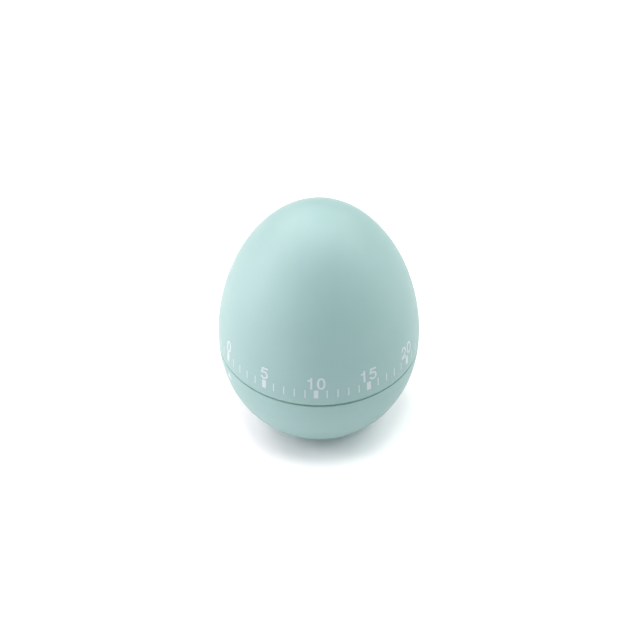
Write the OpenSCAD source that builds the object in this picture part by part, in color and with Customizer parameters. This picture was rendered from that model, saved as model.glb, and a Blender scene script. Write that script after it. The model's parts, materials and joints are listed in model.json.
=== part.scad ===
// Egg-shaped clockwork kitchen timer: a 60-minute movement with a bell between two shells.
// The origin is the centre of the flat base, +Z is up, and the index mark is on the -Y side.

/* [Egg] */
// Largest radius of the egg
egg_r = 30; // [29.5:0.1:31]
// Overall height
egg_h = 75; // [73:0.5:78]
// Height of the widest ring above the base
belt_z = 29.4; // [29:0.1:30]
// Distance from the widest ring to where the lower curve would close
lower_reach = 33.8; // [33:0.1:35]
// Fullness of the lower curve (2 is an ellipse)
lower_full = 2.06; // [2:0.01:2.1]
// Fullness of the upper curve (2 is an ellipse)
upper_full = 1.91; // [1.88:0.01:2]
// Wall thickness of both shells
wall = 2; // [1.8:0.1:2.2]
// Height of the middle of the seam between the shells
seam_z = 27.8; // [27.6:0.1:28]
// Width of the seam
seam_gap = 0.5; // [0.4:0.1:0.6]

/* [Movement] */
// Height of the underside of the bottom plate
bottom_plate_z = 12.6; // [12.6:0.1:12.7]
// Height of the underside of the top plate
top_plate_z = 23.6; // [23.6:0.1:23.7]
// Radius of both plates
plate_r = 19.5; // [19.2:0.1:19.8]
// Thickness of both plates
plate_t = 1; // [0.9:0.1:1]
// Radius of the main arbor
arbor_r = 2; // [1.9:0.1:2]
// Radial clearance of the main arbor and the hammer arbor
running_gap = 0.05; // [0.03:0.01:0.06]

/* [Train] */
// Tooth module of the main wheel and the pinions that it drives
main_module = 0.4; // [0.39:0.01:0.4]
// Tooth module of the other wheels
fine_module = 0.25; // [0.24:0.01:0.25]
// Direction of the second arbor from the centre
second_dir = 60; // [54:6:60]
// Direction of the strike arbor from the centre, a whole number of main wheel teeth further round
strike_dir = 192; // [186:6:192]
// Teeth of the escape wheel
escape_teeth = 20; // [20:1:20]

/* [Bell and stop] */
// Outer radius of the bell
bell_r = 17.5; // [17.2:0.1:17.6]
// Height of the bell's rim
bell_rim_z = 12; // [11.8:0.1:12]
// Swing of the hammer from held to struck
hammer_swing = 12; // [11:1:12]
// Distance of the stop pin from the centre
stop_r = 15; // [14.8:0.1:15]

/* [Hidden] */
$fn = 64;
eps = 0.01;

// Colours
shell_colour = [0.65, 0.80, 0.78];
plate_colour = [0.80, 0.80, 0.78];
steel_colour = [0.62, 0.63, 0.65];
brass_colour = [0.80, 0.66, 0.35];
spring_colour = [0.40, 0.43, 0.50];

// Shells
upper_reach = egg_h - belt_z;
lower_top = seam_z - seam_gap / 2;
upper_bottom = seam_z + seam_gap / 2;
floor_t = 2;
foot_in_r = 12;
foot_recess = 0.6;
lip_out_r = egg_r - wall - 0.4;
lip_in_r = lip_out_r - 1;
lip_top = seam_z + 2.7;
lip_root_z = lower_top - 2.1;
lip_ramp_z = lower_top - 4.1;
boss_ring_r = 23.8;
boss_r = 2.6;
boss_dirs = [20, 140, 260];
screw_r = 0.9;
screw_depth = 9;
dial_boss_r = 4.5;
dial_boss_z = 31;
arbor_top = 42;
flat_z = 30;
flat_x = arbor_r - 0.5;
seat_gap = 0.03;
core_r = 1.4;
core_top = 66;
rib_t = 1.2;
rib_z = 58;

// Levels of the movement
bottom_top_z = bottom_plate_z + plate_t;
top_top_z = top_plate_z + plate_t;
spring_z = 14;
spring_h = 4;
ratchet_z = 18.3;
ratchet_t = 0.7;
main_z = 19.2;
main_t = 0.9;
clip_z = 20.3;
escape_z = 16.6;
fine_t = 0.5;
anchor_z = 17.4;
third_z = 20.6;
second_z = 21.6;
second_t = 0.6;
balance_z = 22;
balance_t = 0.8;
star_z = 16.2;
star_t = 0.6;
cam_z = 25;
cam_t = 0.7;
stop_z = 25.9;
stop_t = 0.6;

// Tooth counts
main_teeth = 60;
drive_leaves = 8;
second_teeth = 56;
third_leaves = 7;
third_teeth = 48;
escape_leaves = 8;
strike_teeth = 48;
star_leaves = 8;
star_teeth = 8;
ratchet_teeth = 16;

// Tooth form, in modules
wheel_tip = 1.15;
wheel_root = 0.75;
wheel_tooth = 0.42 * PI;
wheel_crest = 0.14 * PI;
leaf_tip = 0.5;
leaf_root = 1.4;
leaf_w = 0.32 * PI;
leaf_crest = 0.16 * PI;
leaf_base = 0.24 * PI;

// Places of the arbors
drive_dist = main_module * (main_teeth + drive_leaves) / 2;
second_third = fine_module * (second_teeth + third_leaves) / 2;
third_escape = fine_module * (third_teeth + escape_leaves) / 2;
strike_star = fine_module * (strike_teeth + star_leaves) / 2;
escape_balance = 5.6;
star_hammer = 7;
outer_ring = 13.2;
escape_ring = 13.4;
hammer_ring = 14;
third_dir = second_dir - spread(drive_dist, outer_ring, second_third);
escape_dir = third_dir - spread(outer_ring, escape_ring, third_escape);
balance_dir = escape_dir - spread(escape_ring, escape_ring, escape_balance);
star_dir = strike_dir - spread(drive_dist, outer_ring, strike_star);
hammer_dir = star_dir - spread(outer_ring, hammer_ring, star_hammer);
second_at = polar(drive_dist, second_dir);
third_at = polar(outer_ring, third_dir);
escape_at = polar(escape_ring, escape_dir);
balance_at = polar(escape_ring, balance_dir);
strike_at = polar(drive_dist, strike_dir);
star_at = polar(outer_ring, star_dir);
hammer_at = polar(hammer_ring, hammer_dir);
pillar_ring = 18;
pillar_dirs = [95, 225, 310];
pillar_r = 1.5;
tenon_r = 0.9;

// Small arbors
rod_r = 0.45;
pivot_r = 0.3;
pivot_hole_r = 0.35;
end_play = 0.1;
hammer_rod_r = 0.7;
bush_r = 3.2;

// Escapement
escape_r = 4.2;
escape_root_r = 3.3;
pin_r = 0.17;
pin_ring = escape_r + pin_r + 0.08;
pin_span = 4.5 * 360 / escape_teeth;

// Spring and ratchet
coil_t = 0.3;
coil_turns = 8;
coil_steps = 20;
coil_out_r = 8.5;
post_ring = 9.6;
post_r = 0.7;
ratchet_r = 4;
ratchet_root_r = 3.2;
click_at = polar(6.2, 55);
click_spring_at = polar(7.9, -24);
rivet_r = 0.6;

// Cam, stop and hammer
cam_r = 8;
nose_arm = 9.5;
nose_dir = hammer_dir + spread(hammer_ring, cam_r, nose_arm);
notch_r = 5.9;
// The notch runs from this far before the nose to this far past it
notch_before = 34;
notch_after = 4.5;
stop_dir = 270;
stop_pin_r = 0.4;
stop_gap = asin((2 * stop_pin_r + 0.2) / stop_r);
bell_t = 0.7;
bell_crown_z = 4.2;
bell_round = 3.6;
head_r = 1.3;
head_ring = bell_r - bell_t - head_r - 0.1;
head_dir = 92;
head_arm_z = 11.1;
arm_t = 0.6;
hub_r = 1.4;
// The head's place with the hammer held, which is its struck place turned back
head_at = placed(polar(head_ring, head_dir) - hammer_at, -hammer_swing, hammer_at);
tail_r = 4.25;
tail_dir = bearing(hammer_at, star_at) - 22;
heel_dir = bearing(hammer_at, polar(pillar_ring, pillar_dirs[0]));

// A point at radius r in direction a
function polar(r, a) = [r * cos(a), r * sin(a)];
// The angle between arms a and b whose ends are c apart
function spread(a, b, c) = acos((a * a + b * b - c * c) / (2 * a * b));
// The direction from point p to point q
function bearing(p, q) = atan2(q[1] - p[1], q[0] - p[0]);
// A point turned by angle a and moved to c
function placed(p, a, c = [0, 0]) =
    [c[0] + p[0] * cos(a) - p[1] * sin(a), c[1] + p[0] * sin(a) + p[1] * cos(a)];
// The egg's radius at height z, for a surface inset from the outer one
function egg_radius(z, inset = 0) =
    let (
        reach = (z > belt_z ? upper_reach : lower_reach) - inset,
        full = z > belt_z ? upper_full : lower_full,
        drop = min(1, abs(z - belt_z) / reach)
    )
    (egg_r - inset) * pow(1 - pow(drop, full), 1 / full);
// Half outline of the egg from the height of the widest ring to the top
function upper_outline(inset, steps) =
    [for (i = [0 : steps])
        let (z = belt_z + (upper_reach - inset) * sin(90 * i / steps))
        [i == steps ? 0 : egg_radius(z, inset), z]];
// Half outline of the egg between two heights
function outline(z0, z1, inset, steps) =
    [for (i = [0 : steps])
        let (z = z0 + (z1 - z0) * i / steps)
        [egg_radius(z, inset), z]];
// A list in reverse order
function reversed(list) = [for (i = [len(list) - 1 : -1 : 0]) list[i]];
// Outline of a toothed ring whose first tooth points along dir
function toothed(count, radii, widths, dir) =
    [for (i = [0 : count - 1], k = [0 : 5])
        let (
            j = k < 3 ? k : 5 - k,
            side = k < 3 ? -1 : 1,
            a = dir + 360 * i / count
        )
        placed([radii[j], side * widths[j] / 2], a)];
// Outline of a wheel with its first tooth along dir
function wheel_outline(teeth, m, dir) =
    let (r = m * teeth / 2)
    toothed(teeth, [r - wheel_root * m, r, r + wheel_tip * m],
        [wheel_tooth * m, wheel_tooth * m, wheel_crest * m], dir);
// Outline of a pinion with its first leaf along dir
function pinion_outline(leaves, m, dir) =
    let (r = m * leaves / 2)
    toothed(leaves, [r - leaf_root * m, r, r + leaf_tip * m],
        [leaf_base * m, leaf_w * m, leaf_crest * m], dir);

// Solid egg, inset from the outer surface
module egg_solid(inset) {
    rotate_extrude()
        polygon(concat([[0, 0]], outline(0, belt_z - 1, inset, 14), upper_outline(inset, 24)));
}

// Round bar from height z0 to z1
module bar(r, z0, z1) {
    translate([0, 0, z0])
        cylinder(r = r, h = z1 - z0);
}

// Flat plate of thickness t whose underside is at height z
module slab(z, t) {
    translate([0, 0, z])
        linear_extrude(t)
            children();
}

// Straight arm of width w from p to q, with round ends
module link(p, q, w) {
    translate(p)
        circle(d = w);
    translate(q)
        circle(d = w);
    translate(p)
        rotate(bearing(p, q))
            translate([0, -w / 2])
                square([norm(q - p), w]);
}

module at(p) {
    translate([p[0], p[1], 0])
        children();
}

// Places its children at each direction round a ring
module round_ring(r, dirs) {
    for (a = dirs)
        rotate(a)
            translate([r, 0, 0])
                children();
}

// Arbor with a pivot at each end, and a pinion from z0 to z1 whose gap faces dir
module pinion_arbor(leaves, m, z0, z1, dir) {
    bar(pivot_r, bottom_plate_z - end_play, top_top_z + end_play);
    bar(rod_r, bottom_top_z + end_play, top_plate_z - end_play);
    slab(z0, z1 - z0)
        polygon(pinion_outline(leaves, m, dir + 180 / leaves));
}

// Wheel with crossings, pressed on a small arbor
module crossed_wheel(teeth, m, dir, z, t, spokes, rim_in, hub) {
    slab(z, t)
        difference() {
            polygon(wheel_outline(teeth, m, dir));
            circle(r = rod_r);
            difference() {
                circle(r = rim_in);
                circle(r = hub);
                for (i = [0 : spokes - 1])
                    rotate(i * 360 / spokes)
                        translate([0, -0.5])
                            square([rim_in + 1, 1]);
            }
        }
}

module lower_shell() {
    inside = outline(floor_t, lip_ramp_z, wall, 14);
    section = concat(
        [[foot_in_r, 0]],
        outline(0, lower_top, 0, 18),
        [[lip_out_r, lower_top], [lip_out_r, lip_top], [lip_in_r, lip_top], [lip_in_r, lip_root_z]],
        reversed(inside),
        [[0, floor_t], [0, foot_recess], [foot_in_r, foot_recess]]
    );
    color(shell_colour)
        difference() {
            union() {
                rotate_extrude()
                    polygon(section);
                intersection() {
                    egg_solid(wall / 2);
                    round_ring(boss_ring_r, boss_dirs)
                        bar(boss_r, floor_t, top_plate_z);
                }
            }
            round_ring(boss_ring_r, boss_dirs)
                bar(screw_r, top_plate_z - screw_depth, top_plate_z + 1);
        }
}

module upper_shell() {
    section = concat(
        [[egg_radius(upper_bottom), upper_bottom]],
        upper_outline(0, 24),
        reversed(upper_outline(wall, 20)),
        [[egg_radius(upper_bottom, wall), upper_bottom]]
    );
    color(shell_colour)
        difference() {
            union() {
                rotate_extrude()
                    polygon(section);
                bar(dial_boss_r, dial_boss_z, egg_h - wall + 0.5);
                intersection() {
                    egg_solid(wall / 2);
                    for (a = [45, 135])
                        rotate(a)
                            translate([-egg_r, -rib_t / 2, rib_z])
                                cube([2 * egg_r, rib_t, egg_h]);
                }
            }
            difference() {
                bar(arbor_r + seat_gap, dial_boss_z - 1, arbor_top + seat_gap);
                translate([flat_x + seat_gap, -arbor_r - 1, 0])
                    cube([arbor_r, 2 * arbor_r + 2, egg_h]);
            }
            bar(core_r, dial_boss_z, core_top);
        }
}

// Holes that both plates share
module pivot_holes() {
    for (p = [second_at, third_at, escape_at, balance_at, strike_at, star_at])
        translate(p)
            circle(r = pivot_hole_r);
    translate(hammer_at)
        circle(r = hammer_rod_r + running_gap);
    round_ring(pillar_ring, pillar_dirs)
        circle(r = tenon_r);
}

module bottom_plate() {
    color(plate_colour)
        slab(bottom_plate_z, plate_t)
            difference() {
                circle(r = plate_r);
                circle(r = arbor_r);
                translate(polar(post_ring, stop_dir))
                    circle(r = post_r / 2);
                pivot_holes();
            }
}

module top_plate() {
    color(plate_colour)
        slab(top_plate_z, plate_t)
            difference() {
                union() {
                    circle(r = plate_r);
                    round_ring(boss_ring_r, boss_dirs) {
                        circle(r = boss_r);
                        translate([plate_r - boss_ring_r - 1, -boss_r])
                            square([boss_ring_r - plate_r + 1, 2 * boss_r]);
                    }
                }
                circle(r = bush_r);
                translate(polar(stop_r, stop_dir + stop_gap))
                    circle(r = stop_pin_r);
                round_ring(boss_ring_r, boss_dirs)
                    circle(r = screw_r + 0.2);
                pivot_holes();
            }
}
module pillars() {
    color(steel_colour)
        round_ring(pillar_ring, pillar_dirs) {
            bar(tenon_r, bottom_plate_z, top_top_z + 1.3);
            bar(pillar_r, bottom_top_z, top_plate_z);
        }
}

module pillar_nuts() {
    color(brass_colour)
        round_ring(pillar_ring, pillar_dirs)
            difference() {
                translate([0, 0, top_top_z])
                    cylinder(r = 1.75, h = 1, $fn = 6);
                bar(tenon_r, top_top_z - 1, top_top_z + 2);
            }
}

module case_screws() {
    head_z = top_top_z + 1.3;
    color(steel_colour)
        round_ring(boss_ring_r, boss_dirs)
            difference() {
                union() {
                    bar(screw_r, top_plate_z - screw_depth + 1, top_top_z);
                    bar(1.9, top_top_z, head_z);
                }
                translate([-2.5, -0.25, head_z - 0.5])
                    cube([5, 0.5, 1]);
                translate([-0.25, -2.5, head_z - 0.5])
                    cube([0.5, 5, 1]);
            }
}

module bell() {
    inner = bell_round - bell_t;
    color(steel_colour)
        rotate_extrude()
            difference() {
                bell_outline(bell_r, bell_crown_z, bell_round);
                bell_outline(bell_r - bell_t, bell_crown_z + bell_t, inner);
                translate([-1, bell_crown_z - 1])
                    square([2, 2]);
            }
}

// Half section of a cup from its crown to its rim, with a rounded edge of radius e
module bell_outline(r, z, e) {
    translate([0, z])
        square([r - e, e + 1]);
    translate([r - e, z + e])
        circle(r = e);
    translate([0, z + e])
        square([r, bell_rim_z - z - e]);
}

module bell_post() {
    color(brass_colour)
        difference() {
            union() {
                bar(2.2, bell_crown_z + bell_t, bottom_plate_z);
                bar(3.2, bottom_plate_z - 1, bottom_plate_z);
                bar(arbor_r, bottom_plate_z - eps, bottom_top_z);
            }
            bar(1.2 + running_gap, 11, bottom_top_z + 1);
            bar(0.8, bell_crown_z, 8.2);
        }
}

module bell_screw() {
    color(steel_colour)
        difference() {
            union() {
                bar(0.8, bell_crown_z, 8);
                bar(1.9, bell_crown_z - 1, bell_crown_z);
            }
            translate([-2.5, -0.25, bell_crown_z - 1.5])
                cube([5, 0.5, 1]);
        }
}

module arbor_bush() {
    color(brass_colour)
        difference() {
            bar(bush_r, top_plate_z, top_top_z + 0.25);
            bar(arbor_r + running_gap, top_plate_z - 1, top_top_z + 1);
        }
}

module main_arbor() {
    color(steel_colour) {
        bar(1.2, 11.1, bottom_top_z + 0.1);
        difference() {
            bar(arbor_r, bottom_top_z + 0.05, arbor_top);
            translate([flat_x, -arbor_r - 1, flat_z])
                cube([arbor_r, 2 * arbor_r + 2, arbor_top]);
        }
    }
}

// Edge of the spiral at step i, offset sideways by d
function coil_point(i, d) =
    let (
        last = coil_turns * coil_steps,
        start = arbor_r + running_gap + coil_t / 2,
        r = start + (coil_out_r - start) * i / last
    )
    polar(r + d, stop_dir + 360 * i / coil_steps);

module mainspring() {
    last = coil_turns * coil_steps;
    color(spring_colour)
        slab(spring_z, spring_h)
            difference() {
                union() {
                    polygon(concat(
                        [for (i = [0 : last]) coil_point(i, coil_t / 2)],
                        [for (i = [last : -1 : 0]) coil_point(i, -coil_t / 2)]
                    ));
                    translate(polar(post_ring, stop_dir))
                        circle(r = post_r + coil_t + 0.1);
                }
                translate(polar(post_ring, stop_dir))
                    circle(r = post_r);
            }
}

module spring_post() {
    color(steel_colour)
        at(polar(post_ring, stop_dir)) {
            bar(post_r / 2, bottom_plate_z, bottom_top_z);
            bar(post_r, bottom_top_z, spring_z + spring_h + 0.1);
        }
}

module ratchet_wheel() {
    pitch = 360 / ratchet_teeth;
    color(steel_colour)
        slab(ratchet_z, ratchet_t)
            difference() {
                polygon([for (i = [0 : ratchet_teeth - 1], k = [0, 1])
                    polar(k == 0 ? ratchet_r : ratchet_root_r, i * pitch + (k == 0 ? 0 : 0.3))]);
                circle(r = arbor_r);
            }
}

module main_wheel() {
    color(brass_colour)
        slab(main_z, main_t)
            difference() {
                polygon(wheel_outline(main_teeth, main_module, 0));
                circle(r = arbor_r + running_gap);
                translate(click_at)
                    circle(r = rivet_r);
                translate(click_spring_at)
                    circle(r = rivet_r);
                round_ring(7.4, [120, 180, 240])
                    circle(r = 2.2);
            }
}

module wheel_clip() {
    color(steel_colour)
        slab(clip_z, 0.5)
            difference() {
                circle(r = 3.4);
                circle(r = arbor_r);
                translate([0, -0.9])
                    square([4, 1.8]);
            }
}

module click() {
    color(steel_colour)
        slab(ratchet_z, ratchet_t)
            difference() {
                union() {
                    translate(click_at)
                        circle(r = 1.1);
                    polygon([[3.4, 0.12], [4.15, 0.12], [4.65, 1.4], [4.62, 4.8], [2.6, 4.6], [4, 1.85]]);
                }
                translate(click_at)
                    circle(r = rivet_r + running_gap);
            }
}

module click_rivets() {
    color(steel_colour)
        for (p = [click_at, click_spring_at])
            at(p) {
                bar(rivet_r, ratchet_z - 0.05, main_z + main_t);
                bar(1, main_z + main_t, main_z + main_t + 0.3);
            }
}

module click_spring() {
    tip = [4.8, 1.45];
    color(spring_colour)
        slab(ratchet_z, ratchet_t)
            difference() {
                union() {
                    translate(click_spring_at)
                        circle(r = 0.95);
                    link(click_spring_at + [-0.5, 0.5], tip, 0.22);
                }
                translate(click_spring_at)
                    circle(r = rivet_r);
            }
}

module second_pinion() {
    color(steel_colour)
        at(second_at)
            pinion_arbor(drive_leaves, main_module, main_z - 0.3, main_z + main_t + 0.3, second_dir + 180);
}

module second_wheel() {
    color(brass_colour)
        at(second_at)
            crossed_wheel(second_teeth, fine_module, bearing(second_at, third_at), second_z, second_t,
                4, 5.9, 1.6);
}

module third_pinion() {
    color(steel_colour)
        at(third_at)
            pinion_arbor(third_leaves, fine_module, second_z - 0.4, second_z + second_t + 0.4,
                bearing(third_at, second_at));
}

module third_wheel() {
    color(brass_colour)
        at(third_at)
            crossed_wheel(third_teeth, fine_module, bearing(third_at, escape_at), third_z, fine_t,
                4, 4.9, 1.5);
}

module escape_pinion() {
    color(steel_colour)
        at(escape_at)
            pinion_arbor(escape_leaves, fine_module, third_z - 0.3, third_z + fine_t + 0.3,
                bearing(escape_at, third_at));
}

module escape_wheel() {
    // The teeth stand a quarter of a pitch from both pins
    dir = bearing(escape_at, balance_at) + pin_span / 2 + 90 / escape_teeth;
    color(brass_colour)
        at(escape_at)
            slab(escape_z, fine_t)
                difference() {
                    polygon(toothed(escape_teeth, [escape_root_r, (escape_root_r + escape_r) / 2, escape_r],
                        [0.34, 0.2, 0.1], dir));
                    circle(r = rod_r);
                    round_ring(2.1, [0, 90, 180, 270])
                        circle(r = 0.75);
                }
}

module balance_arbor() {
    color(steel_colour)
        at(balance_at) {
            bar(pivot_r, bottom_plate_z - end_play, top_top_z + end_play);
            bar(rod_r, bottom_top_z + end_play, top_plate_z - end_play);
        }
}

// Place of a pallet pin on one side of the line of centres
function pallet_at(side) =
    escape_at + polar(pin_ring, bearing(escape_at, balance_at) + side * pin_span / 2);

module pallet_anchor() {
    color(brass_colour) {
        slab(anchor_z, fine_t)
            difference() {
                union() {
                    translate(balance_at)
                        circle(r = 1.2);
                    for (side = [-1, 1])
                        link(balance_at, pallet_at(side), 0.8);
                }
                translate(balance_at)
                    circle(r = rod_r);
            }
        for (side = [-1, 1])
            at(pallet_at(side))
                bar(pin_r, escape_z - 0.2, anchor_z + eps);
    }
}

module balance_wheel() {
    color(brass_colour)
        at(balance_at)
            slab(balance_z, balance_t)
                difference() {
                    union() {
                        difference() {
                            circle(r = 4.7);
                            circle(r = 3.6);
                        }
                        circle(r = 1.1);
                        for (a = [0, 120, 240])
                            rotate(a)
                                translate([0, -0.4])
                                    square([4, 0.8]);
                    }
                    circle(r = rod_r);
                }
}

module strike_pinion() {
    color(steel_colour)
        at(strike_at)
            pinion_arbor(drive_leaves, main_module, main_z - 0.3, main_z + main_t + 0.3, strike_dir + 180);
}

module strike_wheel() {
    color(brass_colour)
        at(strike_at)
            crossed_wheel(strike_teeth, fine_module, bearing(strike_at, star_at), second_z, fine_t,
                4, 4.9, 1.5);
}

module star_pinion() {
    color(steel_colour)
        at(star_at)
            pinion_arbor(star_leaves, fine_module, second_z - 0.3, second_z + fine_t + 0.3,
                bearing(star_at, strike_at));
}

module star_wheel() {
    // The hammer tail swings into the gap before the first tooth
    dir = bearing(star_at, hammer_at) + 0.9 * 360 / star_teeth;
    color(steel_colour)
        at(star_at)
            slab(star_z, star_t)
                difference() {
                    polygon(toothed(star_teeth, [1.7, 2.4, 3], [1.1, 0.6, 0.24], dir));
                    circle(r = rod_r);
                }
}

module hammer_arbor() {
    color(steel_colour)
        at(hammer_at)
            bar(hammer_rod_r, head_arm_z, stop_z - 0.15);
}

module hammer() {
    color(brass_colour) {
        slab(head_arm_z, arm_t)
            difference() {
                union() {
                    translate(hammer_at)
                        circle(r = hub_r);
                    link(hammer_at, head_at, 1.2);
                }
                translate(hammer_at)
                    circle(r = hammer_rod_r);
            }
        at(head_at)
            bar(head_r, head_arm_z - 2.6, head_arm_z + arm_t);
    }
}

module hammer_tail() {
    color(steel_colour)
        slab(star_z, star_t)
            difference() {
                union() {
                    translate(hammer_at)
                        circle(r = hub_r);
                    link(hammer_at, hammer_at + polar(tail_r, tail_dir), 0.6);
                    link(hammer_at, hammer_at + polar(3, heel_dir), 1);
                }
                translate(hammer_at)
                    circle(r = hammer_rod_r);
            }
}

module hammer_cam_arm() {
    nose_at = polar(cam_r + 0.55, nose_dir);
    color(steel_colour)
        slab(cam_z, cam_t)
            difference() {
                union() {
                    translate(hammer_at)
                        circle(r = hub_r);
                    link(hammer_at, nose_at, 1);
                }
                translate(hammer_at)
                    circle(r = hammer_rod_r);
            }
}

module hammer_spring() {
    anchor = polar(pillar_ring, pillar_dirs[0]);
    side = heel_dir - 90;
    color(spring_colour)
        slab(star_z - 0.2, 1)
            difference() {
                union() {
                    translate(anchor)
                        circle(r = pillar_r + 0.3);
                    link(anchor + polar(pillar_r + 0.1, side), hammer_at + polar(2.6, heel_dir) + polar(0.67, side),
                        0.26);
                }
                translate(anchor)
                    circle(r = pillar_r);
            }
}

module cam_disc() {
    color(brass_colour)
        slab(cam_z, cam_t)
            difference() {
                circle(r = cam_r);
                circle(r = arbor_r);
                intersection() {
                    difference() {
                        circle(r = cam_r + 1);
                        circle(r = notch_r);
                    }
                    polygon([
                        [0, 0],
                        polar(2 * cam_r, nose_dir - notch_before),
                        polar(2 * cam_r, nose_dir - notch_before / 2),
                        polar(2 * cam_r, nose_dir + notch_after)
                    ]);
                }
            }
}

module stop_arm() {
    color(steel_colour)
        slab(stop_z, stop_t)
            difference() {
                union() {
                    circle(r = 3.6);
                    rotate(stop_dir)
                        translate([0, -stop_pin_r])
                            square([stop_r + stop_pin_r, 2 * stop_pin_r]);
                    link([0, 0], polar(stop_r - 3, stop_dir), 2);
                }
                circle(r = arbor_r);
            }
}

module stop_pin() {
    color(steel_colour)
        at(polar(stop_r, stop_dir + stop_gap))
            bar(stop_pin_r, top_plate_z, stop_z + stop_t + 0.2);
}

lower_shell();
upper_shell();
bottom_plate();
top_plate();
pillars();
pillar_nuts();
case_screws();
bell();
bell_post();
bell_screw();
arbor_bush();
main_arbor();
mainspring();
spring_post();
ratchet_wheel();
main_wheel();
wheel_clip();
click();
click_rivets();
click_spring();
second_pinion();
second_wheel();
third_pinion();
third_wheel();
escape_pinion();
escape_wheel();
balance_arbor();
pallet_anchor();
balance_wheel();
strike_pinion();
strike_wheel();
star_pinion();
star_wheel();
hammer_arbor();
hammer();
hammer_tail();
hammer_cam_arm();
hammer_spring();
cam_disc();
stop_arm();
stop_pin();
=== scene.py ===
"""Egg-shaped clockwork kitchen timer: looks, floor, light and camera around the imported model."""
import json
from math import asin, atan2, copysign, cos, degrees, pi, radians, sin, sqrt

import bmesh
import bpy
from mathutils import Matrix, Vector


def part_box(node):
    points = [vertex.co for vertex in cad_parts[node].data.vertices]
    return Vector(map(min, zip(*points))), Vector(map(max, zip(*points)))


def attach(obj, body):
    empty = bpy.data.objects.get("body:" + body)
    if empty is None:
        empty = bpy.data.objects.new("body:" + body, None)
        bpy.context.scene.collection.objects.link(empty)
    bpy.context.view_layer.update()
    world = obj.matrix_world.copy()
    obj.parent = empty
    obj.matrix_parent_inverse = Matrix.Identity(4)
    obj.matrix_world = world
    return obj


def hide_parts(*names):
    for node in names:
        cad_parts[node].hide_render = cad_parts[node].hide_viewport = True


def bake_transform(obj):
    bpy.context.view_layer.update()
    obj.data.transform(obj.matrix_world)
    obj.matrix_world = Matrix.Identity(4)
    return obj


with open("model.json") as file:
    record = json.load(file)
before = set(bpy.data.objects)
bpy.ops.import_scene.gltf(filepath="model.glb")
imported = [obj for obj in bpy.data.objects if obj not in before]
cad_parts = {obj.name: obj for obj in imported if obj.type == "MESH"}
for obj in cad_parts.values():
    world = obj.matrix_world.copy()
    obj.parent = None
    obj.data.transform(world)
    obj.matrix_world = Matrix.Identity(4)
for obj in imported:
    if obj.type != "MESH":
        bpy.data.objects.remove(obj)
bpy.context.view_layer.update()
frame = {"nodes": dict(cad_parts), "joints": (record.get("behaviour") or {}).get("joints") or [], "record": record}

MM = 0.001

# ---------------------------------------------------------------- the egg, in millimetres

dome_low, dome_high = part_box("upper_shell")
EGG_R = (dome_high.x - dome_low.x) / 2 / MM
EGG_TOP = dome_high.z / MM
DOME_BOTTOM = dome_low.z / MM
# Two half superellipses meet at the belt: how far each reaches along Z, and its exponent
BELT_Z = 29.4
UPPER_REACH = EGG_TOP - BELT_Z
LOWER_REACH = 33.8
UPPER_FULL = 1.91
LOWER_FULL = 2.06
WALL = 2.0
SEAM_GAP = 0.5
BASE_TOP = DOME_BOTTOM - SEAM_GAP
SEAM_Z = DOME_BOTTOM - SEAM_GAP / 2


def egg_radius(z, inset=0.0):
    """Radius of the egg at height z, for a surface inset from the outer one."""
    reach = (UPPER_REACH if z > BELT_Z else LOWER_REACH) - inset
    full = UPPER_FULL if z > BELT_Z else LOWER_FULL
    drop = min(1.0, abs(z - BELT_Z) / reach)
    return (EGG_R - inset) * (1 - drop ** full) ** (1 / full)


def egg_slope(z):
    """How fast the egg's radius changes with height."""
    step = 0.01
    return (egg_radius(z + step) - egg_radius(z - step)) / (2 * step)


def on_egg(azimuth, z, lift):
    """Point at that azimuth (radians, 0 at -Y) and height, lifted off the surface along its normal."""
    slope = egg_slope(z)
    size = sqrt(1 + slope * slope)
    r = egg_radius(z) + lift / size
    return Vector((r * sin(azimuth), -r * cos(azimuth), z - lift * slope / size)) * MM


# ---------------------------------------------------------------- mesh helpers

# Points of a boolean's result that lie closer than this become one
SLIVER = 0.002 * MM


def new_object(name, bm, smooth=True, crease=40):
    """Turns bm into an object with outward normals and smooth shading up to the crease angle."""
    bmesh.ops.recalc_face_normals(bm, faces=bm.faces)
    mesh = bpy.data.meshes.new(name)
    bm.to_mesh(mesh)
    bm.free()
    obj = bpy.data.objects.new(name, mesh)
    bpy.context.scene.collection.objects.link(obj)
    if smooth:
        mesh.shade_smooth()
        mesh.set_sharp_from_angle(angle=radians(crease))
    return obj


def lathe(bm, profile, segments, closed=True):
    """Sweeps a profile of (r, z) points in millimetres round Z. A point on the axis is one vertex."""
    rings = []
    for r, z in profile:
        if r == 0:
            rings.append([bm.verts.new((0, 0, z * MM))])
            continue
        turn = [2 * pi * i / segments for i in range(segments)]
        rings.append([bm.verts.new((r * cos(a) * MM, r * sin(a) * MM, z * MM)) for a in turn])
    pairs = list(zip(rings, rings[1:]))
    if closed:
        pairs.append((rings[-1], rings[0]))
    for a, b in pairs:
        if len(a) == 1 and len(b) == 1:
            continue
        for i in range(segments):
            j = (i + 1) % segments
            if len(a) == 1:
                bm.faces.new((a[0], b[i], b[j]))
            elif len(b) == 1:
                bm.faces.new((a[i], a[j], b[0]))
            else:
                bm.faces.new((a[i], a[j], b[j], b[i]))


def arc(cx, cz, r, start, end, steps):
    """Points of an arc in the (r, z) plane, angles in degrees."""
    angles = [radians(start + (end - start) * i / steps) for i in range(steps + 1)]
    return [(cx + r * cos(a), cz + r * sin(a)) for a in angles]


def close_prism(bm, lower, upper):
    """Faces of a prism between two rings of vertices that match one to one."""
    bm.faces.new(lower)
    bm.faces.new(upper)
    for i in range(len(lower)):
        j = (i + 1) % len(lower)
        bm.faces.new((lower[i], lower[j], upper[j], upper[i]))


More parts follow.
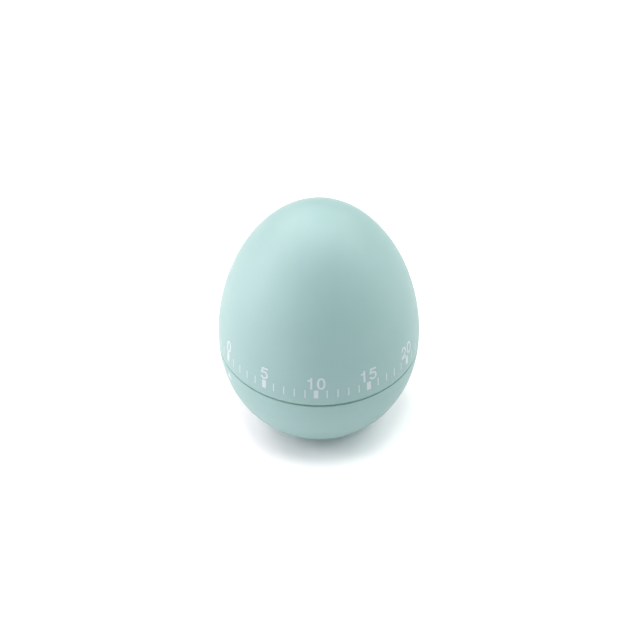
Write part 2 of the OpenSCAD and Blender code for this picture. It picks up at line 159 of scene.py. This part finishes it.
def boolean(obj, tool, operation):
    """Applies an exact boolean, welds the slivers that it leaves and removes the tool."""
    mod = obj.modifiers.new(operation.lower(), "BOOLEAN")
    mod.operation = operation
    mod.object = tool
    mod.solver = "EXACT"
    depsgraph = bpy.context.evaluated_depsgraph_get()
    mesh = bpy.data.meshes.new_from_object(obj.evaluated_get(depsgraph))
    obj.modifiers.remove(mod)
    bm = bmesh.new()
    bm.from_mesh(mesh)
    bmesh.ops.remove_doubles(bm, verts=bm.verts, dist=SLIVER)
    bmesh.ops.dissolve_degenerate(bm, edges=bm.edges, dist=SLIVER)
    bm.to_mesh(mesh)
    bm.free()
    obj.data = mesh
    bpy.data.objects.remove(tool)


# ---------------------------------------------------------------- shells

# Sides of the bosses and bores, and of the shells
ROUND = 64
TURN = 288
# Radius of the rounded lips at the seam
LIP = 0.35
# Directions of the dome's webs and of the three case screws, in degrees
WEB_DIRS = (45, 135)
SCREW_DIRS = (20, 140, 260)


def dome_profile():
    """Closed section of the dome's wall, with a rounded lip at the seam."""
    steps = 96
    # The lip's rounded edges start this far inside the wall's faces
    apart = 0.002
    wall_start = DOME_BOTTOM + LIP + 0.1
    inner_lip = LIP / 2
    outer_r = egg_radius(DOME_BOTTOM)
    inner_r = egg_radius(DOME_BOTTOM, WALL)
    points = arc(outer_r - LIP - apart, DOME_BOTTOM + LIP, LIP, -90, 0, 8)
    start = asin((wall_start - BELT_Z) / UPPER_REACH)
    for i in range(steps + 1):
        z = BELT_Z + UPPER_REACH * sin(start + (pi / 2 - start) * i / steps)
        points.append((0.0 if i == steps else egg_radius(z), z))
    reach = UPPER_REACH - WALL
    start = asin((wall_start - BELT_Z) / reach)
    for i in range(steps, -1, -1):
        z = BELT_Z + reach * sin(start + (pi / 2 - start) * i / steps)
        points.append((0.0 if i == steps else egg_radius(z, WALL), z))
    points += arc(inner_r + inner_lip + apart, DOME_BOTTOM + inner_lip, inner_lip, 180, 270, 5)
    return points


def dome_boss():
    """The moulded boss down the middle, still solid, that ends within the wall."""
    boss_r = 4.5
    edge = 0.3
    bottom = 31.0
    top = EGG_TOP - WALL + 0.5
    rounded = arc(boss_r - edge, bottom + edge, edge, -90, 0, 4)
    bm = bmesh.new()
    lathe(bm, [(0, bottom), *rounded, (boss_r, top), (0, top)], ROUND, closed=False)
    return new_object("boss", bm)


def dome_bore():
    """Cutter for the D-shaped bore that grips the arbor: its flat faces +X."""
    seat_gap = 0.03
    bore_r = 2.0 + seat_gap
    flat_x = 1.5 + seat_gap
    bottom = 30.0
    top = 42.03
    half = radians(90) - asin(flat_x / bore_r)
    angles = [half + (2 * pi - 2 * half) * i / ROUND for i in range(ROUND + 1)]
    outline = [(bore_r * cos(a), bore_r * sin(a)) for a in angles]
    bm = bmesh.new()
    rings = [[bm.verts.new((x * MM, y * MM, z * MM)) for x, y in outline] for z in (bottom, top)]
    close_prism(bm, *rings)
    return new_object("bore", bm)


def dome_core():
    """Cutter for the narrower round core hole above the D-shaped bore."""
    core_r = 1.4
    chamfer = 0.4
    bottom = 41.0
    top = 66.0
    profile = [(0, bottom), (core_r, bottom), (core_r, top - chamfer), (core_r - chamfer, top), (0, top)]
    bm = bmesh.new()
    lathe(bm, profile, ROUND // 2, closed=False)
    return new_object("core", bm)


def dome_web(angle):
    """One web across the dome's inside, ending within the wall."""
    half_t = 0.6
    bottom = 58.0
    top = EGG_TOP - 1.2
    steps = 20
    heights = [bottom + (top - bottom) * i / steps for i in range(steps + 1)]
    outline = [(egg_radius(z, WALL / 2), z) for z in heights]
    outline += [(-r, z) for r, z in reversed(outline)]
    x_dir = cos(angle)
    y_dir = sin(angle)
    bm = bmesh.new()
    sides = []
    for y in (-half_t, half_t):
        ring = []
        for r, z in outline:
            place = (r * x_dir - y * y_dir, r * y_dir + y * x_dir, z)
            ring.append(bm.verts.new([c * MM for c in place]))
        sides.append(ring)
    close_prism(bm, *sides)
    return new_object("web", bm)


def make_dome():
    """The dial: the dome with its boss, crossed webs and bore."""
    bm = bmesh.new()
    lathe(bm, dome_profile(), TURN)
    dome = new_object("dial_shell", bm)
    boolean(dome, dome_boss(), "UNION")
    for direction in WEB_DIRS:
        boolean(dome, dome_web(radians(direction)), "UNION")
    boolean(dome, dome_bore(), "DIFFERENCE")
    boolean(dome, dome_core(), "DIFFERENCE")
    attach(dome, "dial")
    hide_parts("upper_shell")
    return dome


def base_profile():
    """Closed section of the lower shell: foot ring, wall, rounded lip and the ledge inside the seam."""
    steps = 72
    foot_in = 12.0
    foot_r = egg_radius(0)
    recess = 0.6
    floor = 2.0
    fillet_top = floor + 0.6
    ledge_out = EGG_R - WALL - 0.4
    ledge_in = ledge_out - 1
    ledge_top = SEAM_Z + 2.7
    ledge_root = BASE_TOP - 2.1
    wall_top = BASE_TOP - 4.1
    edge = 0.25
    corner = 0.15
    wall_start = LIP * 1.1
    points = [(foot_in + 0.2, 0.0), (foot_r - 0.45, 0.0), (foot_r - 0.18, 0.06), (foot_r + 0.02, 0.18)]
    for i in range(steps + 1):
        z = wall_start + (BASE_TOP - LIP - wall_start) * i / steps
        points.append((egg_radius(z), z))
    points += arc(egg_radius(BASE_TOP) - LIP, BASE_TOP - LIP, LIP, 11.25, 90, 7)
    points += [(ledge_out + corner, BASE_TOP), (ledge_out, BASE_TOP + corner)]
    points += arc(ledge_out - edge, ledge_top - edge, edge, 0, 90, 4)
    points += arc(ledge_in + edge, ledge_top - edge, edge, 90, 180, 4)
    points += [(ledge_in, ledge_root)]
    for i in range(steps, -1, -1):
        z = fillet_top + (wall_top - fillet_top) * i / steps
        points.append((egg_radius(z, WALL), z))
    inner_r = egg_radius(fillet_top, WALL)
    points += [(inner_r - 0.5, floor + 0.15), (inner_r - 1.2, floor), (0.0, floor), (0.0, recess)]
    points += [(foot_in - 0.5, recess), (foot_in - 0.12, recess - 0.12)]
    points += [(foot_in, recess - 0.3), (foot_in, 0.2)]
    return points


def base_boss(angle):
    """One screw boss that grows out of the wall, with its pilot hole."""
    ring_r = 23.8
    boss_r = 2.6
    hole_r = 0.9
    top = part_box("top_plate")[0].z / MM
    hole_z = top - 9
    bm = bmesh.new()
    centre = (ring_r * cos(angle), ring_r * sin(angle))
    turn = [2 * pi * i / ROUND for i in range(ROUND)]
    ring = [(centre[0] + boss_r * cos(a), centre[1] + boss_r * sin(a)) for a in turn]
    hole = [(centre[0] + hole_r * cos(a), centre[1] + hole_r * sin(a)) for a in turn]

    def wall_height(x, y):
        """Height at which the middle of the wall is that far from the axis."""
        target = sqrt(x * x + y * y)
        below = 2.0
        above = BELT_Z - 0.5
        halvings = 40
        for _ in range(halvings):
            middle = (below + above) / 2
            if egg_radius(middle, WALL / 2) < target:
                below = middle
            else:
                above = middle
        return above

    low_ring = [bm.verts.new((x * MM, y * MM, wall_height(x, y) * MM)) for x, y in ring]
    top_ring = [bm.verts.new((x * MM, y * MM, top * MM)) for x, y in ring]
    hole_top = [bm.verts.new((x * MM, y * MM, top * MM)) for x, y in hole]
    hole_low = [bm.verts.new((x * MM, y * MM, hole_z * MM)) for x, y in hole]
    low_centre = bm.verts.new((centre[0] * MM, centre[1] * MM, wall_height(*centre) * MM))
    for i in range(ROUND):
        j = (i + 1) % ROUND
        bm.faces.new((low_ring[i], low_ring[j], top_ring[j], top_ring[i]))
        bm.faces.new((top_ring[i], top_ring[j], hole_top[j], hole_top[i]))
        bm.faces.new((hole_top[i], hole_top[j], hole_low[j], hole_low[i]))
        bm.faces.new((low_ring[j], low_ring[i], low_centre))
    bm.faces.new(hole_low)
    return new_object("boss", bm)


def make_base():
    """The lower half of the case, with its three screw bosses."""
    bm = bmesh.new()
    lathe(bm, base_profile(), TURN)
    base = new_object("base_shell", bm)
    for direction in SCREW_DIRS:
        boolean(base, base_boss(radians(direction)), "UNION")
    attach(base, "case")
    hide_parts("lower_shell")
    return base


# ---------------------------------------------------------------- printed marks, in millimetres

# How far the ink stands out of the egg, and how far its edge reaches into it
INK_LIFT = 0.035
INK_DEPTH = 0.03
# Across and up the ink film, from its left edge over the middle to its right edge
INK_SECTION = ((-1, -INK_DEPTH), (-1, INK_LIFT), (0, INK_LIFT), (1, INK_LIFT), (1, -INK_DEPTH))
# Least squared length of the mean normal at a stroke's corner, which keeps sharp corners short
MITRE_LIMIT = 0.35
STROKE = 0.6
DIGIT_H = 4.0
DIGIT_W = 2.45
DIGIT_STEP = 2.9
DIGIT_Z = 34.25
# Foot and top of the minute ticks and of the five-minute bars, and their widths
TICK_Z = (31.05, 33.85)
BAR_Z = (31.0, 33.9)
TICK_W = 0.34
BAR_W = 1.3


def strip(bm, centre, width, azimuth, z0, closed=False):
    """A band of ink along a centre line of (x, y) points, laid on the egg at that azimuth and height."""
    count = len(centre)
    reach = egg_radius(z0 + DIGIT_H / 2)

    def along(i, j):
        """Unit direction from one centre point to another."""
        dx = centre[j][0] - centre[i][0]
        dy = centre[j][1] - centre[i][1]
        size = sqrt(dx * dx + dy * dy)
        return dx / size, dy / size

    rows = []
    for i in range(count):
        before = along(i - 1, i) if closed or i > 0 else along(i, i + 1)
        after = along(i, (i + 1) % count) if closed or i < count - 1 else before
        nx, ny = -(before[1] + after[1]) / 2, (before[0] + after[0]) / 2
        stretch = max(MITRE_LIMIT, nx * nx + ny * ny)
        nx, ny = nx / stretch, ny / stretch
        row = []
        for side, lift in INK_SECTION:
            x = centre[i][0] + nx * side * width / 2
            y = centre[i][1] + ny * side * width / 2
            row.append(bm.verts.new(on_egg(azimuth + x / reach, z0 + y, lift)))
        rows.append(row)
    pairs = list(zip(rows, rows[1:]))
    if closed:
        pairs.append((rows[-1], rows[0]))
    else:
        bm.faces.new(rows[0])
        bm.faces.new(rows[-1])
    around = len(INK_SECTION)
    for a, b in pairs:
        for k in range(around):
            m = (k + 1) % around
            bm.faces.new((a[k], a[m], b[m], b[k]))


def line(x0, y0, x1, y1, gap=0.4):
    """Points of a straight stroke."""
    steps = max(1, round(sqrt((x1 - x0) ** 2 + (y1 - y0) ** 2) / gap))
    return [(x0 + (x1 - x0) * i / steps, y0 + (y1 - y0) * i / steps) for i in range(steps + 1)]


def bow(cx, cy, rx, ry, start, end, steps=18):
    """Points of an elliptical stroke, angles in degrees."""
    angles = [radians(start + (end - start) * i / steps) for i in range(steps + 1)]
    return [(cx + rx * cos(a), cy + ry * sin(a)) for a in angles]


def digit_strokes(digit):
    """(centre line, closed) for each stroke of a digit, in a cell DIGIT_W by DIGIT_H, centred on x = 0."""
    half = STROKE / 2
    rx = DIGIT_W / 2 - half
    top = DIGIT_H - half
    low = half
    mid = DIGIT_H / 2
    if digit == "0":
        ry = mid - half
        steps = 40
        power = 0.86
        ring = []
        for i in range(steps):
            c = cos(2 * pi * i / steps)
            s = sin(2 * pi * i / steps)
            ring.append((rx * copysign(abs(c) ** power, c), mid + ry * copysign(abs(s) ** power, s)))
        return [(ring, True)]
    if digit == "1":
        stem = 0.08
        return [(line(stem, 0, stem, DIGIT_H), False),
                (line(stem - half, DIGIT_H * 0.79, stem - 1.08, DIGIT_H * 0.72), False)]
    if digit == "2":
        ry = 1.08
        head = bow(0, top - ry, rx - 0.02, ry, 172, -28)
        neck = head[-1]
        sweep = line(neck[0] - 0.25, neck[1] - 0.42, -rx + 0.05, low + 0.42)
        foot = line(-rx + 0.02, low, rx + half, low)
        return [(head + sweep + foot, False)]
    if digit == "3":
        ry_top = (top - mid - 0.05) / 2
        ry_low = (mid + 0.05 - low) / 2
        upper = bow(0, mid + 0.05 + ry_top, rx - 0.12, ry_top, 165, -90)
        lower = bow(0, low + ry_low, rx, ry_low, 90, -165, 22)
        return [(upper + [(-0.35, mid + 0.05)], False), (lower, False)]
    if digit == "4":
        stem = 0.42
        bar_y = 1.16
        return [(line(stem, 0, stem, DIGIT_H), False),
                (line(stem - half, DIGIT_H - 0.42, -rx + 0.1, bar_y + 0.25), False),
                (line(-rx - half + 0.02, bar_y, stem - half, bar_y), False),
                (line(stem + half, bar_y, rx + half, bar_y), False)]
    bowl_ry = 1.12
    bowl = bow(-0.05, low + bowl_ry, rx + 0.05, bowl_ry, 140, -160, 24)
    neck = bowl[0]
    return [(line(rx + half - 0.12, top, -rx + 0.28, top)
             + line(-rx + 0.24, top - 0.35, -rx + 0.02, neck[1] - 0.05), False),
            (bowl, False)]


def make_numerals():
    """The numerals 0 to 55, every five minutes, each over its bar."""
    bm = bmesh.new()
    for minute in range(0, 60, 5):
        azimuth = radians(6 * minute)
        text = str(minute)
        reach = egg_radius(DIGIT_Z + DIGIT_H / 2)
        for place, digit in enumerate(text):
            x = (place - (len(text) - 1) / 2) * DIGIT_STEP
            for centre, closed in digit_strokes(digit):
                strip(bm, centre, STROKE, azimuth + x / reach, DIGIT_Z, closed)
    numerals = new_object("dial_numerals", bm)
    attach(numerals, "dial")
    return numerals


def make_minute_marks():
    """A thin tick at every minute and a broad bar at every fifth."""
    bm = bmesh.new()
    for minute in range(60):
        broad = minute % 5 == 0
        z0, z1 = BAR_Z if broad else TICK_Z
        width = BAR_W if broad else TICK_W
        strip(bm, line(0, 0, 0, z1 - z0), width, radians(6 * minute), z0)
    marks = new_object("dial_minute_marks", bm)
    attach(marks, "dial")
    return marks


def make_index_mark():
    """The fixed pointer on the lower shell, a small triangle with a blunt tip under the scale."""
    tip_z = SEAM_Z - 1.6
    foot_z = SEAM_Z - 4.2
    half_w = 1.35
    blunt = 0.06
    rows = 8
    columns = (-1, -0.5, 0, 0.5, 1)
    last = len(columns) - 1
    bm = bmesh.new()
    layers = []
    for lift in (INK_LIFT, -INK_DEPTH):
        layer = []
        for i in range(rows + 1):
            z = foot_z + (tip_z - foot_z) * i / rows
            w = half_w * (1 - i / rows) + blunt
            layer.append([bm.verts.new(on_egg(x * w / egg_radius(z), z, lift)) for x in columns])
        layers.append(layer)
        for a, b in zip(layer, layer[1:]):
            for k in range(last):
                bm.faces.new((a[k], a[k + 1], b[k + 1], b[k]))
    over, under = layers
    for i in range(rows):
        for k in (0, last):
            bm.faces.new((over[i][k], over[i + 1][k], under[i + 1][k], under[i][k]))
    for i in (0, rows):
        for k in range(last):
            bm.faces.new((over[i][k], over[i][k + 1], under[i][k + 1], under[i][k]))
    mark = new_object("index_mark", bm)
    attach(mark, "case")
    return mark


# ---------------------------------------------------------------- leaf springs of the movement


def polar(r, direction):
    """2-D point at that distance and direction (degrees), in millimetres."""
    return Vector((r * cos(radians(direction)), r * sin(radians(direction))))


def leaf_outline(eye, eye_r, root, tip, width):
    """Outline of a flat spring: a round tip, a straight blade and an eye."""
    blade_steps = 24
    tip_steps = 8
    eye_steps = 40
    half = width / 2
    along = (tip - root).normalized()
    across = Vector((-along.y, along.x))
    tip_angles = [pi / 2 - pi * i / tip_steps for i in range(tip_steps + 1)]
    outline = [tip + half * (cos(a) * along + sin(a) * across) for a in tip_angles]
    edges = []
    for side in (-1, 1):
        offset = (root - eye).dot(across) + side * half
        reach = sqrt(eye_r * eye_r - offset * offset)
        foot = eye + reach * along + offset * across
        end = tip + side * half * across
        edges.append([foot.lerp(end, i / blade_steps) for i in range(blade_steps)])
    right, left = edges
    start, finish = (atan2(edge[0].y - eye.y, edge[0].x - eye.x) for edge in edges)
    sweep = (start - finish) % (2 * pi)
    turn = [start - sweep * i / eye_steps for i in range(1, eye_steps)]
    outline += right[::-1]
    outline += [eye + eye_r * Vector((cos(a), sin(a))) for a in turn]
    outline += left
    return outline


def eye_cutter(eye, hole_r, bottom, top):
    """Cutter for the hole of a spring's eye."""
    bm = bmesh.new()
    lathe(bm, [(0, bottom), (hole_r, bottom), (hole_r, top), (0, top)], 40, closed=False)
    for vert in bm.verts:
        vert.co += Vector((eye.x, eye.y, 0)) * MM
    return new_object("eye", bm)


def leaf_spring(node, eye, eye_r, hole_r, root, tip, width):
    """A flat spring bent edgewise: an eye on its rivet or pillar, and a blade that presses a part."""
    node_low, node_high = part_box(node)
    outline = leaf_outline(eye, eye_r, root, tip, width)
    bm = bmesh.new()
    rings = []
    for z in (node_low.z, node_high.z):
        rings.append([bm.verts.new((p.x * MM, p.y * MM, z)) for p in outline])
    close_prism(bm, *rings)
    spring = new_object(node + "_leaf", bm, crease=25)
    boolean(spring, eye_cutter(eye, hole_r, node_low.z / MM - 1, node_high.z / MM + 1), "DIFFERENCE")
    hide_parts(node)
    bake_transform(spring)
    return spring


def make_click_spring():
    """It sits on its own rivet and presses the click into the ratchet."""
    rivet = polar(7.9, -24)
    root = rivet + Vector((-0.5, 0.5))
    tip = Vector((4.8, 1.45))
    return leaf_spring("click_spring", rivet, 0.95, 0.6, root, tip, 0.22)


def make_hammer_spring():
    """It hooks round a pillar and presses the hammer's heel."""
    pillar = polar(18, 95)
    pillar_r = 1.5
    heel_r = 2.6
    pivot = next(joint for joint in frame["joints"] if joint["name"] == "hammer_swing")["pos_m"]
    hammer = Vector(pivot[:2]) / MM
    toward = pillar - hammer
    heel_dir = degrees(atan2(toward.y, toward.x))
    side = heel_dir - 90
    root = pillar + polar(pillar_r + 0.1, side)
    tip = hammer + polar(heel_r, heel_dir) + polar(0.67, side)
    return leaf_spring("hammer_spring", pillar, pillar_r + 0.3, pillar_r, root, tip, 0.26)


# ---------------------------------------------------------------- materials


class Nodes:
    """A node material under construction."""

    def __init__(self, name):
        self.material = bpy.data.materials.new(name)
        self.material.use_nodes = True
        self.tree = self.material.node_tree
        self.shader = self.tree.nodes["Principled BSDF"]
        self.coords = self.tree.nodes.new("ShaderNodeTexCoord").outputs["Object"]

    def link(self, output, target):
        """Joins one node's output to another's input."""
        self.tree.links.new(output, target)

    def noise(self, scale, detail=3.0, roughness=0.55, stretch=(1, 1, 1)):
        """Noise in object space, scale in features per metre."""
        mapping = self.tree.nodes.new("ShaderNodeMapping")
        mapping.inputs["Scale"].default_value = stretch
        self.link(self.coords, mapping.inputs["Vector"])
        node = self.tree.nodes.new("ShaderNodeTexNoise")
        node.inputs["Scale"].default_value = scale
        node.inputs["Detail"].default_value = detail
        node.inputs["Roughness"].default_value = roughness
        self.link(mapping.outputs["Vector"], node.inputs["Vector"])
        return node.outputs["Fac"]

    def ramp(self, value, stops):
        """Colour ramp with (position, colour) stops."""
        node = self.tree.nodes.new("ShaderNodeValToRGB")
        points = node.color_ramp.elements
        while len(points) < len(stops):
            points.new(0.5)
        for point, (position, colour) in zip(points, stops):
            point.position = position
            point.color = (*colour, 1)
        self.link(value, node.inputs["Fac"])
        return node.outputs["Color"]

    def scaled(self, value, low_out, high_out, low_in=0.3, high_in=0.7):
        """Value mapped from one range to another."""
        node = self.tree.nodes.new("ShaderNodeMapRange")
        node.inputs["From Min"].default_value = low_in
        node.inputs["From Max"].default_value = high_in
        node.inputs["To Min"].default_value = low_out
        node.inputs["To Max"].default_value = high_out
        self.link(value, node.inputs["Value"])
        return node.outputs["Result"]

    def mixed(self, factor, a, b):
        """Mix of two colours, each a socket or an (r, g, b)."""
        node = self.tree.nodes.new("ShaderNodeMix")
        node.data_type = "RGBA"
        for name, value in (("Factor", factor), ("A", a), ("B", b)):
            socket = next(s for s in node.inputs if s.name == name and s.enabled)
            if isinstance(value, tuple):
                socket.default_value = (*value, 1)
            elif isinstance(value, (int, float)):
                socket.default_value = value
            else:
                self.link(value, socket)
        return next(s for s in node.outputs if s.enabled)

    def bump(self, height, distance, strength=1.0, normal=None):
        """Normal for a relief of that many metres, on top of another normal."""
        node = self.tree.nodes.new("ShaderNodeBump")
        node.inputs["Strength"].default_value = strength
        node.inputs["Distance"].default_value = distance
        self.link(height, node.inputs["Height"])
        if normal is not None:
            self.link(normal, node.inputs["Normal"])
        return node.outputs["Normal"]

    def set(self, **values):
        """Sets the shader's own sockets, named with _ for each space."""
        for name, value in values.items():
            self.shader.inputs[name.replace("_", " ")].default_value = value


def shell_plastic():
    """Soft-touch mint coating: fine orange peel, faint clouding and slightly polished handling marks."""
    n = Nodes("soft_touch_mint")
    cloud = n.noise(55, 4)
    tint = n.ramp(cloud, [(0.3, (0.229, 0.350, 0.339)), (0.7, (0.241, 0.365, 0.353))])
    speck = n.noise(2600, 2)
    tint = n.mixed(n.scaled(speck, 0.0, 0.10, 0.62, 0.75), tint, (0.30, 0.40, 0.39))
    n.link(tint, n.shader.inputs["Base Color"])
    rub = n.noise(120, 5, 0.65)
    n.link(n.scaled(rub, 0.46, 0.58), n.shader.inputs["Roughness"])
    peel = n.bump(n.noise(900, 3), 0.00002, 0.5)
    grain = n.bump(n.noise(5200, 2), 0.000006, 0.6, peel)
    n.link(grain, n.shader.inputs["Normal"])
    n.set(IOR=1.5, Specular_IOR_Level=0.32)
    return n.material


def bare_plastic():
    """The uncoated moulding inside the shells, a little greener, with faint flow marks; its colour is also painted
    light, about twice as bright as the coating, which lifts the shade in the seam gap.
    """
    n = Nodes("bare_moulded_mint_painted_seam_light")
    flow = n.noise(90, 4, 0.6, (1, 1, 0.3))
    # Painted light: these colours are far brighter than the coating's mint so that the shade inside the seam gap
    # reads lighter; the greener hue is the moulding's own
    tint = n.ramp(flow, [(0.3, (0.45, 0.66, 0.56)), (0.7, (0.49, 0.70, 0.60))])
    n.link(tint, n.shader.inputs["Base Color"])
    n.link(n.scaled(flow, 0.40, 0.50), n.shader.inputs["Roughness"])
    n.link(n.bump(n.noise(1500, 3), 0.000008, 0.5), n.shader.inputs["Normal"])
    n.set(IOR=1.5)
    return n.material


# How far below the egg's surface the coating reaches round the lips, in millimetres; deeper faces get the bare
# plastic, whose brightness is painted light in the seam gap
COAT_DEPTH = 0.45


def coat(shell, coating, bare):
    """Coats the outside of a shell and leaves what lies deeper than COAT_DEPTH bare, in the bright bare plastic
    that paints light into the seam gap.
    """
    shell.data.materials.clear()
    shell.data.materials.append(coating)
    shell.data.materials.append(bare)
    for face in shell.data.polygons:
        x, y, z = face.center / MM
        face.material_index = int(egg_radius(z) - sqrt(x * x + y * y) > COAT_DEPTH)


def ink():
    """Pad-printed off-white ink with a slightly uneven film."""
    n = Nodes("printed_ink")
    film = n.noise(900, 4, 0.6)
    tint = n.ramp(film, [(0.3, (0.405, 0.455, 0.475)), (0.7, (0.445, 0.495, 0.515))])
    n.link(tint, n.shader.inputs["Base Color"])
    n.link(n.scaled(film, 0.5, 0.62), n.shader.inputs["Roughness"])
    n.link(n.bump(n.noise(4000, 3), 0.000004, 0.6), n.shader.inputs["Normal"])
    return n.material


def metal(name, base, shade, rough, stretch=(1, 1, 1), lines=3000, spots=350, spot_colour=None):
    """Worked metal: drawn or turned lines, uneven roughness, and dull spots."""
    n = Nodes(name)
    cloud = n.noise(spots, 4)
    colour = n.ramp(cloud, [(0.32, shade), (0.68, base)])
    if spot_colour:
        spot = n.scaled(n.noise(spots * 2.3, 5, 0.7), 0.0, 0.55, 0.6, 0.72)
        colour = n.mixed(spot, colour, spot_colour)
    n.link(colour, n.shader.inputs["Base Color"])
    grain = n.noise(lines, 3, 0.6, stretch)
    n.link(n.scaled(grain, rough * 0.8, rough * 1.3), n.shader.inputs["Roughness"])
    n.link(n.bump(grain, 0.000001, 0.6), n.shader.inputs["Normal"])
    n.set(Metallic=1.0)
    return n.material


def dress_movement(springs):
    """Gives every inner CAD node, and the leaf springs, the finish of its material slot."""
    finishes = {
        "zinc_plate": metal("zinc_plated_sheet", (0.66, 0.66, 0.62), (0.52, 0.53, 0.51), 0.38,
                            (1, 9, 1), 1400, 260, (0.45, 0.44, 0.38)),
        "steel": metal("turned_steel", (0.60, 0.60, 0.61), (0.46, 0.47, 0.49), 0.26,
                       (1, 1, 14), 2200),
        "screw_steel": metal("plated_screw_steel", (0.62, 0.62, 0.58), (0.45, 0.45, 0.42), 0.34,
                             (1, 1, 3), 2600),
        "bell_steel": metal("nickel_plated_bell", (0.70, 0.69, 0.66), (0.60, 0.59, 0.57), 0.14,
                            (1, 1, 10), 1200),
        "spring_steel": metal("blued_spring_steel", (0.16, 0.19, 0.30), (0.08, 0.09, 0.16), 0.24,
                              (1, 1, 12), 1800),
        "brass": metal("stamped_brass", (0.72, 0.50, 0.20), (0.56, 0.37, 0.13), 0.28,
                       (1, 8, 1), 1800, 420, (0.40, 0.26, 0.12)),
    }
    slots = {row["node"]: row["material_slot"] for row in frame["record"]["subparts"]}
    for name, node in frame["nodes"].items():
        if slots[name] in finishes:
            node.data.materials.clear()
            node.data.materials.append(finishes[slots[name]])
    for spring in springs:
        spring.data.materials.append(finishes["spring_steel"])


# ---------------------------------------------------------------- floor, light and camera

VIEW_AZIMUTH = 61.5
VIEW_ELEVATION = 41.7
VIEW_DISTANCE = 0.448
VIEW_LENS = 84.8
VIEW_SHIFT = 0.0018
VIEW_TARGET = Vector((0, 0, (BELT_Z + 4.65) * MM))
SENSOR_WIDTH = 36
# How far the soft boxes stand from the timer, and how wide they are, in metres
BOX_DISTANCE = 0.8
BOX_SIZE = 0.5
# The light that comes from everywhere else: a faint blue
FILL_COLOUR = (0.45, 0.75, 1, 1)
FILL_STRENGTH = 0.05


def aim(obj, target, distance, azimuth, elevation):
    """Puts obj at that distance and direction (degrees, azimuth 0 at -Y) and turns it to the target."""
    a = radians(azimuth)
    e = radians(elevation)
    obj.location = target + distance * Vector((sin(a) * cos(e), -cos(a) * cos(e), sin(e)))
    obj.rotation_euler = (target - obj.location).to_track_quat("-Z", "Y").to_euler()
    bpy.context.scene.collection.objects.link(obj)


def make_floor():
    """A plain pale round table of matte white, as wide as the lit patch."""
    radius = 0.5
    sides = 128
    bm = bmesh.new()
    turn = [2 * pi * i / sides for i in range(sides)]
    corners = [bm.verts.new((radius * cos(a), radius * sin(a), 0)) for a in turn]
    bm.faces.new(corners)
    floor = new_object("studio_floor", bm, smooth=False)
    n = Nodes("pale_floor")
    n.set(Base_Color=(0.92, 0.92, 0.92, 1), Roughness=0.9, Specular_IOR_Level=0.1)
    floor.data.materials.append(n.material)


def soft_box(name, azimuth, elevation, power, tint, target):
    """A round soft box that faces the target."""
    light = bpy.data.lights.new(name, "AREA")
    light.shape = "DISK"
    light.size = BOX_SIZE
    light.energy = power
    light.color = tint
    obj = bpy.data.objects.new(name, light)
    aim(obj, target, BOX_DISTANCE, azimuth, elevation)


def make_camera():
    """The camera, which looks down on the front of the scale."""
    data = bpy.data.cameras.new("camera")
    data.lens = VIEW_LENS
    data.sensor_width = SENSOR_WIDTH
    data.shift_x = VIEW_SHIFT
    data.clip_start = 0.01
    camera = bpy.data.objects.new("camera", data)
    aim(camera, VIEW_TARGET, VIEW_DISTANCE, VIEW_AZIMUTH, VIEW_ELEVATION)
    bpy.context.scene.camera = camera


# Soft boxes round the timer: name, azimuth from the camera's own, elevation, watts, tint
SOFT_BOXES = (
    ("left_low", -90, 12, 3.60, (1.0, 0.895, 0.92)),
    ("left_high", -90, 45, 2.75, (1.0, 0.93, 0.95)),
    ("front_left_low", -45, 12, 2.05, (0.92, 0.98, 1.0)),
    ("back_left", -135, 45, 3.28, (1.0, 0.87, 0.885)),
    ("front_low", 0, 12, 0.50, (0.55, 0.93, 1.0)),
    ("back_right", 135, 45, 2.62, (1.0, 0.94, 0.94)),
    ("right_low", 90, 12, 1.60, (0.93, 1.0, 1.0)),
    ("right_high", 90, 45, 2.90, (0.98, 1.0, 0.99)),
    ("overhead", 0, 89, 5.00, (1.0, 0.985, 0.97)),
)


def make_light():
    """A bright tent of soft boxes, dimmest on the camera's side, before a backdrop that is plain white."""
    middle = Vector((0, 0, 0.035))
    for name, turn, elevation, power, tint in SOFT_BOXES:
        soft_box(name, VIEW_AZIMUTH + turn, elevation, power, tint, middle)
    world = bpy.data.worlds.new("studio")
    world.use_nodes = True
    tree = world.node_tree
    fill = tree.nodes["Background"]
    fill.inputs["Color"].default_value = FILL_COLOUR
    fill.inputs["Strength"].default_value = FILL_STRENGTH
    backdrop = tree.nodes.new("ShaderNodeBackground")
    backdrop.inputs["Color"].default_value = (1, 1, 1, 1)
    backdrop.inputs["Strength"].default_value = 1.0
    path = tree.nodes.new("ShaderNodeLightPath")
    mix = tree.nodes.new("ShaderNodeMixShader")
    tree.links.new(path.outputs["Is Camera Ray"], mix.inputs["Fac"])
    tree.links.new(fill.outputs["Background"], mix.inputs[1])
    tree.links.new(backdrop.outputs["Background"], mix.inputs[2])
    tree.links.new(mix.outputs["Shader"], tree.nodes["World Output"].inputs["Surface"])
    bpy.context.scene.world = world
    bpy.context.scene.view_settings.view_transform = "Standard"


# ---------------------------------------------------------------- build

coating = shell_plastic()
bare = bare_plastic()
printing = ink()
for shell in (make_dome(), make_base()):
    coat(shell, coating, bare)
for print_piece in (make_numerals(), make_minute_marks(), make_index_mark()):
    print_piece.data.materials.append(printing)
dress_movement([make_click_spring(), make_hammer_spring()])
make_floor()
make_camera()
make_light()
